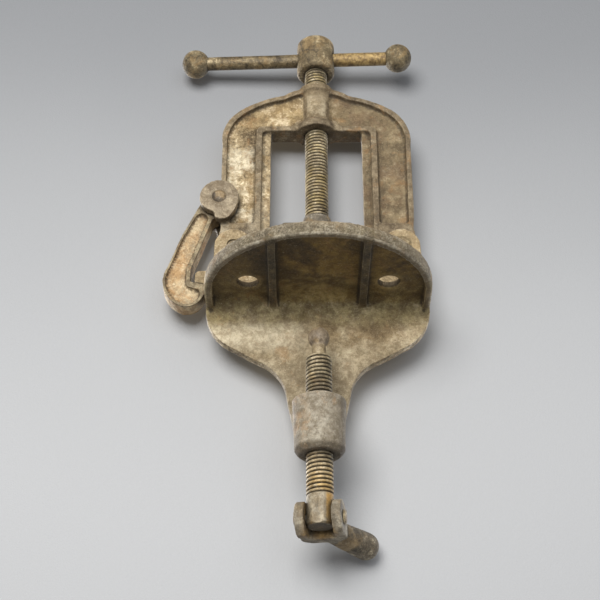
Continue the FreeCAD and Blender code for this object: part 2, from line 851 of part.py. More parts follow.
def make_clamp_screw():
    body = new_body("clamp_screw_blank")
    radius = size("thread_radius")
    top = -size("clamp_thread_top")
    end = -size("clamp_screw_end")
    turn_up(body, "shaft", clamp_y, [
        (0, top),
        (radius - 1.0, top),
        (radius, top - 1.0),
        (radius, end + 1.2),
        (radius - 1.2, end),
        (0, end),
    ])
    across, along = handle_axes()
    centre = V(0, clamp_y, -size("fork_height"))
    flats = []
    flat = size("fork_gap") / 2 - 0.1
    for tag, side in (("left", -1), ("right", 1)):
        block = doc.addObject("Part::Box", f"flat_{tag}")
        block.Length = LONG
        block.Width = LONG
        block.Height = LONG
        rotation = FreeCAD.Rotation(V(0, 0, 1), -size("handle_turn"))
        inner = flat if side > 0 else -flat - LONG
        flat_top = size("fork_radius") + 0.4
        corner = centre + across * inner - along * (LONG / 2) + V(0, 0, flat_top - LONG)
        block.Placement = FreeCAD.Placement(corner, rotation)
        flats.append(block)
    hole = cylinder("clamp_screw_rivet_hole", "Sizes.handle_rivet_radius", f"{LONG} mm",
                    centre - LONG / 2 * across, across)
    tools = doc.addObject("Part::MultiFuse", "clamp_screw_cuts")
    tools.Shapes = flats + [hole]
    screw = doc.addObject("Part::Cut", "clamp_screw")
    screw.Label = "clamp_screw"
    screw.Base = body
    screw.Tool = tools
    return screw


def make_clamp_handle():
    """Forked lever: two round ears on the screw's flats, a rounded heel behind and a stub lever."""
    across, along = handle_axes()
    centre = V(0, clamp_y, -size("fork_height"))
    radius = size("fork_radius")
    gap = size("fork_gap")
    ear = size("ear_thickness")
    heel = size("thread_radius") + 1.2
    inset = size("heel_inset")
    rotation = FreeCAD.Rotation(V(0, 0, 1), -size("handle_turn"))
    ears = []
    for tag, side in (("left", -1), ("right", 1)):
        inner = gap / 2 if side > 0 else -gap / 2 - ear
        disc = cylinder(f"fork_ear_{tag}", "Sizes.fork_radius", "Sizes.ear_thickness",
                        centre + across * inner, across)
        ears.append(disc)
        arm = doc.addObject("Part::Box", f"fork_arm_{tag}")
        arm.Length = ear
        arm.Width = heel + 3
        arm.Height = 2 * (radius - inset)
        arm.Placement = FreeCAD.Placement(centre + across * inner - V(0, 0, radius - inset), rotation)
        ears.append(arm)
    back = doc.addObject("Part::Box", "fork_heel")
    back.Length = gap + 2 * ear
    back.Width = size("heel_thickness")
    back.Height = 2 * (radius - inset)
    start = centre - across * (gap / 2 + ear) + along * heel - V(0, 0, radius - inset)
    back.Placement = FreeCAD.Placement(start, rotation)
    square_fork = doc.addObject("Part::MultiFuse", "square_fork")
    square_fork.Shapes = ears + [back]
    outside = cylinder("fork_outside", "Sizes.fork_back_radius", "2 * Sizes.fork_radius",
                       centre - V(0, 0, radius), V(0, 0, 1))
    fork = doc.addObject("Part::MultiCommon", "fork")
    fork.Shapes = [square_fork, outside]
    turn = math.radians(size("lever_turn"))
    lever_way = V(math.sin(turn), math.cos(turn), 0)
    drop = V(0, 0, -size("lever_drop"))
    root = centre + along * (heel + 4.5) + across * 1.5 + drop * 0.4
    tip = centre + lever_way * size("lever_reach") + drop
    way = tip - root
    lever = doc.addObject("Part::Cone", "lever")
    lever.setExpression("Radius1", "Sizes.lever_root_radius")
    lever.setExpression("Radius2", "Sizes.lever_end_radius")
    lever.Height = way.Length
    lever.Placement = FreeCAD.Placement(root, FreeCAD.Rotation(V(0, 0, 1), way))
    end = doc.addObject("Part::Sphere", "lever_end")
    end.setExpression("Radius", "Sizes.lever_end_radius")
    end.Placement = FreeCAD.Placement(tip, FreeCAD.Rotation())
    solid = doc.addObject("Part::MultiFuse", "clamp_handle_blank")
    solid.Shapes = [fork, lever, end]
    hole = cylinder("handle_rivet_hole", "Sizes.handle_rivet_radius + 0.05", f"{LONG} mm",
                    centre - LONG / 2 * across, across)
    handle = doc.addObject("Part::Cut", "clamp_handle")
    handle.Label = "clamp_handle"
    handle.Base = solid
    handle.Tool = hole
    return handle


def make_rivet(name, centre, axis, shank, shank_radius, head, head_radius):
    """A headed rivet: a shank between two low round heads."""
    way = V(axis)
    way.normalize()
    parts = [cylinder(name + "_shank", shank_radius, f"{shank} mm", centre - way * (shank / 2), way)]
    for tag, side in (("near", -1), ("far", 1)):
        face = centre + way * (side * shank / 2)
        cap = doc.addObject("Part::Cone", f"{name}_{tag}_head")
        cap.Radius1 = head_radius
        cap.Radius2 = head_radius * 0.7
        cap.Height = head
        cap.Placement = FreeCAD.Placement(face, FreeCAD.Rotation(V(0, 0, 1), way * side))
        parts.append(cap)
    rivet = doc.addObject("Part::MultiFuse", name)
    rivet.Label = name
    rivet.Shapes = parts
    return rivet


# ---------------------------------------------------------------- build every node
lug_span = 2 * size("lug_depth")
ear_span = size("yoke_thickness") + 2 * size("ear_plate")
fork_span = size("fork_gap") + 2 * size("ear_thickness") + 0.2
rivet_axis, _ = handle_axes()

nodes = [
    make_base_casting(),
    make_lower_jaw(),
    make_lower_jaw_pins(),
    make_yoke(),
    make_rivet("hinge_pin", V(lug_x, depth, lug_z), V(0, 1, 0), lug_span,
               "Sizes.hinge_pin_radius", size("rivet_head"), 6.4),
    cylinder("locating_dowel", "Sizes.dowel_radius", "2 * Sizes.lug_depth - Sizes.dowel_set_back",
             V(-lug_x, depth - lug_span / 2 + size("dowel_set_back"), lug_z), V(0, 1, 0)),
    make_latch_hook(),
    make_rivet("latch_rivet", V(latch[0], depth, latch[1]), V(0, 1, 0), ear_span,
               "Sizes.latch_pin_radius", size("rivet_head"), 4.7),
    make_upper_jaw(),
    make_jaw_retaining_pins(),
    make_main_screw(),
    make_screw_head(),
    make_head_pin(),
    make_tommy_bar(),
    make_bar_ball("bar_ball_left", -size("bar_left")),
    make_bar_ball("bar_ball_right", size("bar_right")),
    make_clamp_ball_tip(),
    make_clamp_screw(),
    make_clamp_handle(),
    make_rivet("handle_rivet", V(0, clamp_y, -size("fork_height")), rivet_axis, fork_span,
               "Sizes.handle_rivet_radius", size("rivet_head"), 4.4),
]
doc.recompute()

# ---------------------------------------------------------------- check and export
for item in doc.Objects:
    if {"Invalid", "Error"} & set(item.State):
        raise RuntimeError(f"{item.Name} failed: {item.State}")

os.makedirs("parts", exist_ok=True)
for node in nodes:
    if node.Shape.isNull() or not node.Shape.isValid():
        raise RuntimeError(f"{node.Label} has no valid shape")
    box = node.Shape.BoundBox
    print(f"{node.Label:20s} solids {len(node.Shape.Solids)} volume {node.Shape.Volume:9.0f} "
          f"x {box.XMin:7.1f} {box.XMax:7.1f}  y {box.YMin:7.1f} {box.YMax:7.1f}  "
          f"z {box.ZMin:7.1f} {box.ZMax:7.1f}")
    node.Shape.exportStep(f"parts/{node.Label}.step")
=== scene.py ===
import bpy
import json
import math
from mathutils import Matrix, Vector


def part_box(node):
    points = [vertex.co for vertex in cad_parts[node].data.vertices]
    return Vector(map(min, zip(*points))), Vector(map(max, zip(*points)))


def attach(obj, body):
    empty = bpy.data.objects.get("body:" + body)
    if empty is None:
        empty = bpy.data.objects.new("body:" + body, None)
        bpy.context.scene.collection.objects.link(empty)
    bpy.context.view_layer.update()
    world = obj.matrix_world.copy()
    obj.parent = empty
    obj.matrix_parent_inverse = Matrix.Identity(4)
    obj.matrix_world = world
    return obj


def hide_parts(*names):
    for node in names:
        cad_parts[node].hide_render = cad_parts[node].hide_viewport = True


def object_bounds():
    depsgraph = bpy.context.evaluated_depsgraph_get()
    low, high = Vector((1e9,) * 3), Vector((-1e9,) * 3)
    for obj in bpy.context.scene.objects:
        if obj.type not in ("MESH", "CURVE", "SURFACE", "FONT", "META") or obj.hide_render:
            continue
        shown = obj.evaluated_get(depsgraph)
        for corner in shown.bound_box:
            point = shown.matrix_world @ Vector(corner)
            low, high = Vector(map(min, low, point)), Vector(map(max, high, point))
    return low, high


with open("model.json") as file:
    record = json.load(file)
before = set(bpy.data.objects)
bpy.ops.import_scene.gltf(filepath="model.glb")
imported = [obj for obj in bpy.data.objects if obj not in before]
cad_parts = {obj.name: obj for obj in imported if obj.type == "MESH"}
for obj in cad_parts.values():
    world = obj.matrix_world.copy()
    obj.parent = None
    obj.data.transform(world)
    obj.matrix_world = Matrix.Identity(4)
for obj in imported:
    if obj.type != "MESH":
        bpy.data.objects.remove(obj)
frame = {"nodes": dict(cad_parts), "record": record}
CAD_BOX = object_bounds()
NODES = frame["nodes"]
MM = 0.001


def middle(node):
    low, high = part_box(node)
    return (Vector(low) + Vector(high)) / 2


def radius_of(node):
    low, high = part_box(node)
    return (high[0] - low[0]) / 2


# ---------------------------------------------------------------- places read from the frame
SCREW_AXIS = middle("main_screw")
CLAMP_AXIS = middle("clamp_ball_tip")
YOKE_PLANE = SCREW_AXIS.y
BACK = CAD_BOX[1].y
MOUNTS = {mount["name"]: mount for mount in frame["record"]["mounts"]}
BOLT_X = MOUNTS["bench_bolts"]["dims"]["spacing_x_mm"] / 2 * MM

# places on the CAD pieces that the record doesn't give
RIB_X = 28.5 * MM
HANDLE_TURN = math.radians(12)


# ---------------------------------------------------------------- camera
def make_camera():
    """The vise lies on its back, with the camera at its clamp end, 30 degrees off its front."""
    target = Vector((-0.0114, YOKE_PLANE, 0.0107))
    distance = 0.811
    below = math.radians(30)
    look = Vector((0, math.cos(below), math.sin(below)))
    data = bpy.data.cameras.new("camera")
    data.lens = 75
    data.sensor_width = 36
    data.clip_start = 0.01
    data.clip_end = 20
    camera = bpy.data.objects.new("camera", data)
    camera.location = target - look * distance
    camera.rotation_mode = "QUATERNION"
    camera.rotation_quaternion = look.to_track_quat("-Z", "Y")
    bpy.context.scene.collection.objects.link(camera)
    bpy.context.scene.camera = camera


# ---------------------------------------------------------------- shader nodes
class Graph:
    """A short way to build a material's nodes."""

    def __init__(self, name):
        self.material = bpy.data.materials.new(name)
        self.material.use_nodes = True
        self.tree = self.material.node_tree
        self.tree.nodes.clear()
        self.output = self.tree.nodes.new("ShaderNodeOutputMaterial")
        self.coordinates = self.tree.nodes.new("ShaderNodeTexCoord").outputs["Object"]

    def link(self, source, socket):
        self.tree.links.new(source, socket)

    def set(self, socket, value):
        if isinstance(value, bpy.types.NodeSocket):
            self.link(value, socket)
        else:
            socket.default_value = value

    def noise(self, scale, detail=6.0, roughness=0.6, distortion=0.0):
        node = self.tree.nodes.new("ShaderNodeTexNoise")
        node.inputs["Scale"].default_value = scale
        node.inputs["Detail"].default_value = detail
        node.inputs["Roughness"].default_value = roughness
        node.inputs["Distortion"].default_value = distortion
        self.link(self.coordinates, node.inputs["Vector"])
        return node.outputs["Fac"]

    def ramp(self, factor, stops):
        """A smooth colour ramp; stops are (position, colour)."""
        node = self.tree.nodes.new("ShaderNodeValToRGB")
        node.color_ramp.interpolation = "EASE"
        elements = node.color_ramp.elements
        while len(elements) < len(stops):
            elements.new(0.5)
        for element, (position, colour) in zip(elements, stops):
            element.position = position
            element.color = (*colour, 1)
        self.link(factor, node.inputs["Fac"])
        return node.outputs["Color"]

    def band(self, factor, low, high):
        """Rises from 0 to 1 as the factor goes from low to high; falls if low is above high."""
        node = self.tree.nodes.new("ShaderNodeMapRange")
        node.interpolation_type = "SMOOTHSTEP"
        node.inputs["From Min"].default_value = low
        node.inputs["From Max"].default_value = high
        self.link(factor, node.inputs["Value"])
        return node.outputs["Result"]

    def band_linear(self, factor, low, high, to_low=0.0, to_high=1.0):
        node = self.tree.nodes.new("ShaderNodeMapRange")
        for name, value in (("From Min", low), ("From Max", high),
                            ("To Min", to_low), ("To Max", to_high)):
            node.inputs[name].default_value = value
        self.link(factor, node.inputs["Value"])
        return node.outputs["Result"]

    def facing(self, name):
        """One part of the surface's direction, in the piece's own axes."""
        node = self.tree.nodes.new("ShaderNodeSeparateXYZ")
        self.link(self.tree.nodes.new("ShaderNodeTexCoord").outputs["Normal"], node.inputs[0])
        return node.outputs[name]

    def math(self, operation, a, b=0.0):
        """Arithmetic held to 0..1, unless the operation's name ends in _FREE."""
        node = self.tree.nodes.new("ShaderNodeMath")
        node.operation = operation.replace("_FREE", "")
        node.use_clamp = operation in ("MULTIPLY", "ADD", "SUBTRACT")
        self.set(node.inputs[0], a)
        self.set(node.inputs[1], b)
        return node.outputs[0]

    def mix(self, factor, a, b, blend="MIX"):
        node = self.tree.nodes.new("ShaderNodeMix")
        node.data_type = "RGBA"
        node.blend_type = blend
        self.set(node.inputs["Factor"], factor)
        self.set(node.inputs["A"], a if isinstance(a, bpy.types.NodeSocket) else (*a, 1))
        self.set(node.inputs["B"], b if isinstance(b, bpy.types.NodeSocket) else (*b, 1))
        return node.outputs["Result"]

    def both(self, *masks):
        """Where every mask is 1."""
        result = masks[0]
        for mask in masks[1:]:
            result = self.math("MULTIPLY", result, mask)
        return result

    def tint(self, base, mask, strength, colour):
        """Lay a colour over the base where the mask is 1."""
        return self.mix(self.math("MULTIPLY", mask, strength), base, colour)

    def patchy(self, scale, dark, light, low=0.40, high=0.60):
        """Two colours in patches."""
        return self.mix(self.band(self.noise(scale, 7, 0.7), low, high), dark, light)

    def away(self, name, value):
        """How far the place is from a value along one axis."""
        return self.math("ABSOLUTE", self.math("ADD_FREE", self.axis(name), -value))

    def hypotenuse(self, a, b):
        a_squared = self.math("MULTIPLY_FREE", a, a)
        b_squared = self.math("MULTIPLY_FREE", b, b)
        return self.math("POWER", self.math("ADD_FREE", a_squared, b_squared), 0.5)

    def pointiness(self):
        return self.tree.nodes.new("ShaderNodeNewGeometry").outputs["Pointiness"]

    def crevice(self, distance):
        node = self.tree.nodes.new("ShaderNodeAmbientOcclusion")
        node.samples = 4
        node.inputs["Distance"].default_value = distance
        return node.outputs["AO"]

    def axis(self, name):
        node = self.tree.nodes.new("ShaderNodeSeparateXYZ")
        self.link(self.coordinates, node.inputs[0])
        return node.outputs[name]

    def bump(self, layers):
        """Bump layers of (height, depth in metres), one over the other."""
        normal = None
        for height, depth in layers:
            node = self.tree.nodes.new("ShaderNodeBump")
            node.inputs["Strength"].default_value = 1.0
            node.inputs["Distance"].default_value = depth
            self.link(height, node.inputs["Height"])
            if normal is not None:
                self.link(normal, node.inputs["Normal"])
            normal = node.outputs["Normal"]
        return normal

    def surface(self, colour, roughness, metallic, normal):
        shader = self.tree.nodes.new("ShaderNodeBsdfPrincipled")
        self.set(shader.inputs["Base Color"], colour)
        self.set(shader.inputs["Roughness"], roughness)
        self.set(shader.inputs["Metallic"], metallic)
        self.link(normal, shader.inputs["Normal"])
        self.link(shader.outputs[0], self.output.inputs["Surface"])
        return self.material


def old_metal(name, dark, mid, light, rust, zones=None, rust_share=0.4, metallic=0.1, polish=0.0,
              grain=1.0, worn=0.35, ao_shade_strength=0.85, warm_tint=(0.33, 0.225, 0.10)):
    """Aged metal: a mottled skin, rust stains and pits, with painted shade in the hollows and
    creases, and edges lightened as rubbed wear and painted highlight.

    The palette is linear colour. zones(g, colour) may tint parts of a piece by where they are.
    """
    g = Graph(name)
    large = g.noise(34, 4, 0.6)
    mottle = g.noise(150, 10, 0.72, 0.25)
    speckle = g.noise(620, 8, 0.75)
    value = g.mix(0.30, g.mix(0.50, large, mottle), speckle)
    value = g.band_linear(value, 0.430, 0.570)
    base = g.ramp(value, [(0.02, dark), (0.34, scaled(mid, 0.75)), (0.58, mid), (0.96, light)])
    warm = g.band(g.noise(52, 7, 0.7, 0.4), 0.50, 0.60)
    base = g.tint(base, warm, 0.45, warm_tint)
    if zones:
        base = zones(g, base)
    blotch = g.band(g.noise(185, 9, 0.76, 0.3), 0.41, 0.59)
    deep = g.mix(1.0, base, (0.74, 0.69, 0.61), "MULTIPLY")
    pale = g.mix(1.0, base, (1.20, 1.19, 1.15), "MULTIPLY")
    base = g.mix(blotch, deep, pale)
    stain = g.noise(75, 9, 0.74, 0.6)
    stained = g.band(stain, 0.62 - 0.16 * rust_share, 0.70 - 0.10 * rust_share)
    base = g.tint(base, stained, rust_share, rust)
    flecks = g.noise(1100, 5, 0.8)
    base = g.tint(base, g.band(flecks, 0.55, 0.66), 0.55, scaled(dark, 0.50))
    base = g.tint(base, g.band(flecks, 0.43, 0.34), 0.34, scaled(light, 1.15))
    # Painted shade: ambient occlusion darkens the hollows.
    painted_hollow_shade = g.band(g.crevice(0.007), 0.93, 0.38)
    base = g.tint(base, painted_hollow_shade, ao_shade_strength, scaled(dark, 0.36))
    jitter = g.math("MULTIPLY", g.math("SUBTRACT", speckle, 0.5), 0.12)
    points = g.math("ADD", g.pointiness(), jitter)
    # Painted shade: low pointiness darkens creases and inside corners.
    painted_crease_shade = g.band(points, 0.492, 0.458)
    base = g.tint(base, painted_crease_shade, 0.85, scaled(dark, 0.40))
    # Convex edges are lightened: partly rubbed wear, partly a painted highlight.
    edge = g.band(points, 0.520, 0.570)
    rubbed_and_highlit_edge = g.mix(0.45, g.mix(1.0, base, (2.0, 1.9, 1.75), "MULTIPLY"), scaled(light, 0.9))
    base = g.tint(base, edge, worn, rubbed_and_highlit_edge)
    shine = g.math("ADD", g.math("MULTIPLY", edge, 0.25), polish)
    roughness = g.math("SUBTRACT", g.band_linear(mottle, 0.9, 0.1, 0.50, 0.86), shine)
    normal = g.bump([(mottle, 0.0011 * grain), (speckle, 0.0006 * grain),
                     (flecks, 0.00022 * grain)])
    return g.surface(base, roughness, metallic, normal)


def scaled(colour, factor):
    return tuple(min(1, factor * c) for c in colour)


# ---------------------------------------------------------------- tints by place
# Places are in metres. In g.band(factor, low, high) a tint starts at low and is full at high.
def looking_down(g):
    return g.band(g.facing("Z"), -0.30, -0.75)


def apron_tints(g, base, height, toward):
    """Patchy, with cream and a painted highlight on its left, browner on its right and towards the
    arm.
    """
    apron = g.both(toward, g.band(height, 0.004, -0.006))
    patches = g.patchy(31, (0.235, 0.170, 0.088), (0.58, 0.505, 0.355), 0.39, 0.61)
    base = g.tint(base, apron, 0.60, patches)
    # Cream tone with a painted highlight over the upper left of the apron.
    cream = g.both(apron, g.band(height, -0.006, -0.013), g.band(height, -0.034, -0.024),
                   g.band(g.axis("X"), 0.004, -0.022))
    base = g.tint(base, cream, 0.48, (0.68, 0.62, 0.48))
    right = g.both(apron, g.band(g.axis("X"), -0.005, 0.040))
    base = g.tint(base, right, 0.12, (0.25, 0.18, 0.10))
    stained = g.both(apron, g.band(g.noise(62, 8, 0.72, 0.4), 0.50, 0.58))
    base = g.tint(base, stained, 0.26, (0.22, 0.130, 0.058))
    low = g.both(apron, g.band(height, -0.018, -0.030))
    return g.tint(base, low, 0.46, (0.19, 0.158, 0.100))


def oily_cove(g, base, height, toward, down):
    """A greenish oily band, with a ragged lower edge, where the apron meets the plate."""
    ragged = g.math("ADD_FREE", height, g.math("MULTIPLY_FREE", g.noise(45, 6, 0.7), 0.024))
    band = g.both(g.band(ragged, -0.006, 0.009), g.math("MAXIMUM", toward, down),
                  g.band(height, 0.007, 0.005))
    return g.tint(base, band, 0.76, g.patchy(85, (0.095, 0.068, 0.022), (0.270, 0.225, 0.105)))


def rim_tints(g, base, height):
    """Grey grit round the plate's edge, with a paler bead along the bottom of it."""
    rim = g.both(g.band(height, -0.001, 0.0005), g.band(height, 0.016, 0.011),
                 g.band(g.axis("Y"), -0.004, -0.012), g.band(g.facing("Z"), 0.85, 0.45))
    gritty = g.patchy(900, (0.080, 0.066, 0.045), (0.25, 0.222, 0.172), 0.44, 0.58)
    gritty = g.tint(gritty, g.band(g.noise(38, 6, 0.7), 0.48, 0.60), 0.55, (0.125, 0.090, 0.048))
    base = g.tint(base, rim, 0.80, gritty)
    bead = g.both(rim, g.band(g.facing("Z"), -0.30, -0.55), g.band(height, 0.004, 0.001))
    return g.tint(base, bead, 0.50, g.patchy(420, (0.19, 0.165, 0.12), (0.52, 0.48, 0.39)))


def underside_tints(g, base, height, down):
    """Brown oil inside the lip, golden towards the apron and darker on the left, and dark ribs,
    with painted shade on the plate's downward faces.
    """
    # Painted shade: the plate's downward faces are darkened.
    under = g.both(down, g.band(g.facing("Z"), -0.90, -0.97), g.band(height, -0.004, 0.0))
    base = g.tint(base, under, 0.70, (0.115, 0.078, 0.034))
    inside = g.both(down, g.band(height, 0.0018, 0.0042))
    oil = g.patchy(42, (0.055, 0.031, 0.005), (0.20, 0.122, 0.024))
    golden = g.patchy(70, (0.16, 0.105, 0.030), (0.38, 0.295, 0.120))
    oil = g.tint(oil, g.band(g.axis("Y"), -0.022, 0.020), 0.62, golden)
    oil = g.tint(oil, g.band(g.axis("Y"), -0.0485, -0.0505), 0.50, (0.19, 0.140, 0.078))
    oil = g.tint(oil, g.band(g.axis("X"), -0.024, -0.034), 0.45, (0.045, 0.030, 0.010))
    base = g.tint(base, inside, 0.90, oil)
    across = g.math("ABSOLUTE", g.axis("X"))
    rib = g.both(g.band(g.math("ABSOLUTE", g.math("ADD_FREE", across, -RIB_X)), 0.0044, 0.0030),
                 g.band(height, -0.004, -0.001), g.band(height, 0.0085, 0.0060),
                 g.band(g.axis("Y"), -0.058, -0.054), g.band(g.axis("Y"), 0.024, 0.016))
    return g.tint(base, rib, 0.97, g.patchy(120, (0.030, 0.020, 0.006), (0.090, 0.064, 0.026)))


def bolt_hole_tints(g, base, height, down):
    """A rubbed collar round each bolt hole, and painted shade in the bores."""
    across = g.math("ABSOLUTE", g.axis("X"))
    bolt = g.hypotenuse(g.math("ADD_FREE", across, -BOLT_X), g.axis("Y"))
    collar = g.both(down, g.band(bolt, 0.0105, 0.0078))
    base = g.tint(base, collar, 0.35, (0.30, 0.22, 0.095))
    # Painted shade darkens the lower part of each bolt hole's wall.
    painted_bore_shade = g.both(g.band(bolt, 0.0074, 0.0068), g.band(height, 0.0102, 0.0080))
    return g.tint(base, painted_bore_shade, 0.92, (0.050, 0.032, 0.012))


def boss_tints(g, base, height):
    """Smooth grey, with painted shade on the flanks and the right, darker at the foot, and rust on
    the left.
    """
    boss = g.band(height, -0.068, -0.074)
    smooth = g.patchy(280, (0.215, 0.188, 0.146), (0.345, 0.322, 0.274), 0.32, 0.68)
    base = g.tint(base, boss, 0.84, smooth)
    # Painted shade: the boss darkens where its sides turn away.
    flank = g.both(boss, g.band(g.math("ABSOLUTE", g.facing("X")), 0.50, 0.98))
    base = g.tint(base, flank, 0.50, (0.105, 0.080, 0.050))
    # Painted shade on the right of the boss.
    shaded = g.both(boss, g.band(g.axis("X"), 0.000, 0.012))
    base = g.tint(base, shaded, 0.42, (0.125, 0.098, 0.062))
    streak = g.both(boss, g.band(g.axis("X"), -0.004, -0.013),
                    g.band(g.noise(95, 7, 0.7), 0.44, 0.58))
    base = g.tint(base, streak, 0.60, (0.27, 0.165, 0.070))
    foot = g.both(boss, g.band(height, -0.1056, -0.1084))
    return g.tint(base, foot, 0.72, (0.072, 0.052, 0.028))


def base_zones(g, base):
    """Tints from the apron and the plate down to the boss, then on the arm and the yoke's lugs."""
    height = g.axis("Z")
    down = looking_down(g)
    toward = g.band(g.facing("Y"), -0.45, -0.80)
    base = apron_tints(g, base, height, toward)
    base = oily_cove(g, base, height, toward, down)
    base = rim_tints(g, base, height)
    base = underside_tints(g, base, height, down)
    base = bolt_hole_tints(g, base, height, down)
    base = boss_tints(g, base, height)
    arm = g.both(g.band(height, -0.030, -0.045), g.band(height, -0.074, -0.068))
    base = g.tint(base, arm, 0.55, g.patchy(60, (0.13, 0.100, 0.060), (0.25, 0.205, 0.135)))
    lugs = g.band(height, 0.011, 0.016)
    return g.tint(base, lugs, 0.55, (0.235, 0.178, 0.100))


def yoke_zones(g, base):
    """Brown rims round a cream web, darker on the right and yellower over the crown, with painted
    shade on the faces that look down.
    """
    off = g.away("Y", YOKE_PLANE)
    height = g.axis("Z")
    left = g.both(g.band(g.axis("X"), -0.028, -0.046), g.band(height, 0.142, 0.118),
                  g.band(g.noise(60, 7, 0.7), 0.42, 0.56))
    base = g.tint(base, left, 0.60, (0.76, 0.70, 0.55))
    crown = g.band(height, 0.140, 0.156)
    base = g.tint(base, crown, 0.42, (0.27, 0.185, 0.076))
    right = g.band(g.axis("X"), -0.012, 0.024)
    base = g.tint(base, right, 0.82, g.patchy(38, (0.098, 0.072, 0.038), (0.212, 0.166, 0.096)))
    stained = g.both(right, g.band(g.noise(68, 8, 0.74, 0.5), 0.49, 0.57))
    base = g.tint(base, stained, 0.50, (0.115, 0.066, 0.030))
    rim = g.band(off, 0.0045, 0.0058)
    base = g.tint(base, rim, 0.78, g.patchy(130, (0.088, 0.064, 0.036), (0.200, 0.158, 0.100)))
    ear = g.both(g.band(off, 0.0080, 0.0092), g.band(g.axis("X"), -0.045, -0.049))
    speckled = g.patchy(75, (0.200, 0.160, 0.112), (0.38, 0.318, 0.228), 0.38, 0.62)
    base = g.tint(base, ear, 0.70, speckled)
    nut = g.both(g.band(g.axis("X"), -0.016, -0.014), g.band(g.axis("X"), 0.016, 0.014),
                 g.band(off, 0.0074, 0.0086))
    lip = g.both(nut, g.band(height, 0.153, 0.150))
    base = g.tint(base, lip, 0.60, g.patchy(110, (0.085, 0.062, 0.036), (0.22, 0.175, 0.115)))
    hub = g.both(nut, g.band(height, 0.152, 0.156), g.band(height, 0.174, 0.170))
    base = g.tint(base, hub, 0.35, g.patchy(90, (0.22, 0.165, 0.085), (0.62, 0.54, 0.39)))
    # Painted shade: faces that look down are darkened.
    return g.tint(base, looking_down(g), 0.72, (0.070, 0.047, 0.021))


def hook_zones(g, base):
    """Brown raised border round a pale channel with orange patches."""
    border = g.band(g.away("Y", YOKE_PLANE), 0.0044, 0.0056)
    base = g.mix(0.50, base, g.patchy(42, (0.40, 0.235, 0.095), (0.64, 0.56, 0.39)))
    return g.tint(base, border, 0.86, g.patchy(110, (0.085, 0.066, 0.036), (0.27, 0.230, 0.148)))


def bar_zones(g, base):
    """Right of the head the bar is orange with rust."""
    right = g.band(g.axis("X"), 0.004, 0.016)
    return g.tint(base, right, 0.85, g.patchy(330, (0.15, 0.092, 0.032), (0.39, 0.275, 0.110)))


def handle_zones(g, base):
    """The fork is paler than the lever, with rust where it holds the screw."""
    reach = g.hypotenuse(g.away("X", CLAMP_AXIS.x), g.away("Y", CLAMP_AXIS.y))
    fork = g.band(reach, 0.021, 0.015)
    base = g.tint(base, fork, 0.50, g.patchy(95, (0.15, 0.125, 0.090), (0.36, 0.325, 0.26)))
    eye = g.band(reach, 0.0125, 0.0085)
    return g.tint(base, eye, 0.70, g.patchy(170, (0.15, 0.085, 0.025), (0.42, 0.26, 0.075)))


def tip_zones(g, base):
    """The neck under the ball is paler and yellower."""
    neck = g.band(g.axis("Z"), -0.0385, -0.0405)
    return g.tint(base, neck, 0.65, g.patchy(150, (0.21, 0.160, 0.085), (0.45, 0.37, 0.22)))


def painted_root_shade(g, base, node, centre):
    """Painted shade darkening the roots between the crests of a screw about a vertical line."""
    crest = radius_of(node)
    radius = g.hypotenuse(g.away("X", centre.x), g.away("Y", centre.y))
    # Painted shade: the thread roots are darkened.
    root = g.band(radius, crest - 0.0005, crest - 0.0012)
    return g.tint(base, root, 0.60, (0.052, 0.038, 0.018))


def main_screw_zones(g, base):
    # Painted shade in the thread roots.
    return painted_root_shade(g, base, "main_screw", SCREW_AXIS)


def clamp_screw_zones(g, base):
    """Rusty low on the thread, then a pale shank with orange on its right front and a dark end."""
    height = g.axis("Z")
    rusty = g.both(g.band(height, -0.112, -0.128), g.band(g.noise(210, 6, 0.7), 0.38, 0.54))
    base = g.tint(base, rusty, 0.75, (0.42, 0.285, 0.105))
    shank = g.band(height, -0.1335, -0.1355)
    base = g.tint(base, shank, 0.80, g.patchy(160, (0.155, 0.132, 0.096), (0.31, 0.285, 0.232)))
    orange = g.both(shank, g.band(g.axis("X"), CLAMP_AXIS.x + 0.0026, CLAMP_AXIS.x + 0.0044),
                    g.band(g.axis("Y"), CLAMP_AXIS.y - 0.0005, CLAMP_AXIS.y - 0.0040),
                    g.band(g.noise(150, 7, 0.7), 0.36, 0.52))
    base = g.tint(base, orange, 0.85, (0.50, 0.29, 0.065))
    end = g.both(shank, g.band(g.facing("Z"), -0.25, -0.70))
    base = g.tint(base, end, 0.85, (0.075, 0.050, 0.022))
    # Painted shade in the thread roots.
    return painted_root_shade(g, base, "clamp_screw", CLAMP_AXIS)


# ---------------------------------------------------------------- CAD nodes with soft edges
def modifier(item, kind, name, **settings):
    made = item.modifiers.new(name, kind)
    for key, value in settings.items():
        setattr(made, key, value)


def clouds(name, scale, depth):
    texture = bpy.data.textures.new(name, "CLOUDS")
    texture.noise_scale = scale
    texture.noise_depth = depth
    return texture


COARSE = clouds("casting_waves", 0.011, 2)
FINE = clouds("sand_grain", 0.0026, 3)

# above a half, the skin moves mostly inward and stays in the CAD box
SKIN_LEVEL = 0.8


def cast(node, voxel, rounds, waves=0.5, sand=0.25):
    """Soften a piece's edges and give it an uneven skin; voxel, waves and sand in millimetres."""
    item = NODES[node]
    modifier(item, "REMESH", "cast_skin", mode="VOXEL", voxel_size=voxel * MM,
             use_smooth_shade=True)
    modifier(item, "SMOOTH", "cast_edges", factor=0.5, iterations=rounds)
    for name, texture, strength in (("waves", COARSE, waves), ("sand", FINE, sand)):
        modifier(item, "DISPLACE", name, texture=texture, strength=strength * MM,
                 mid_level=SKIN_LEVEL)


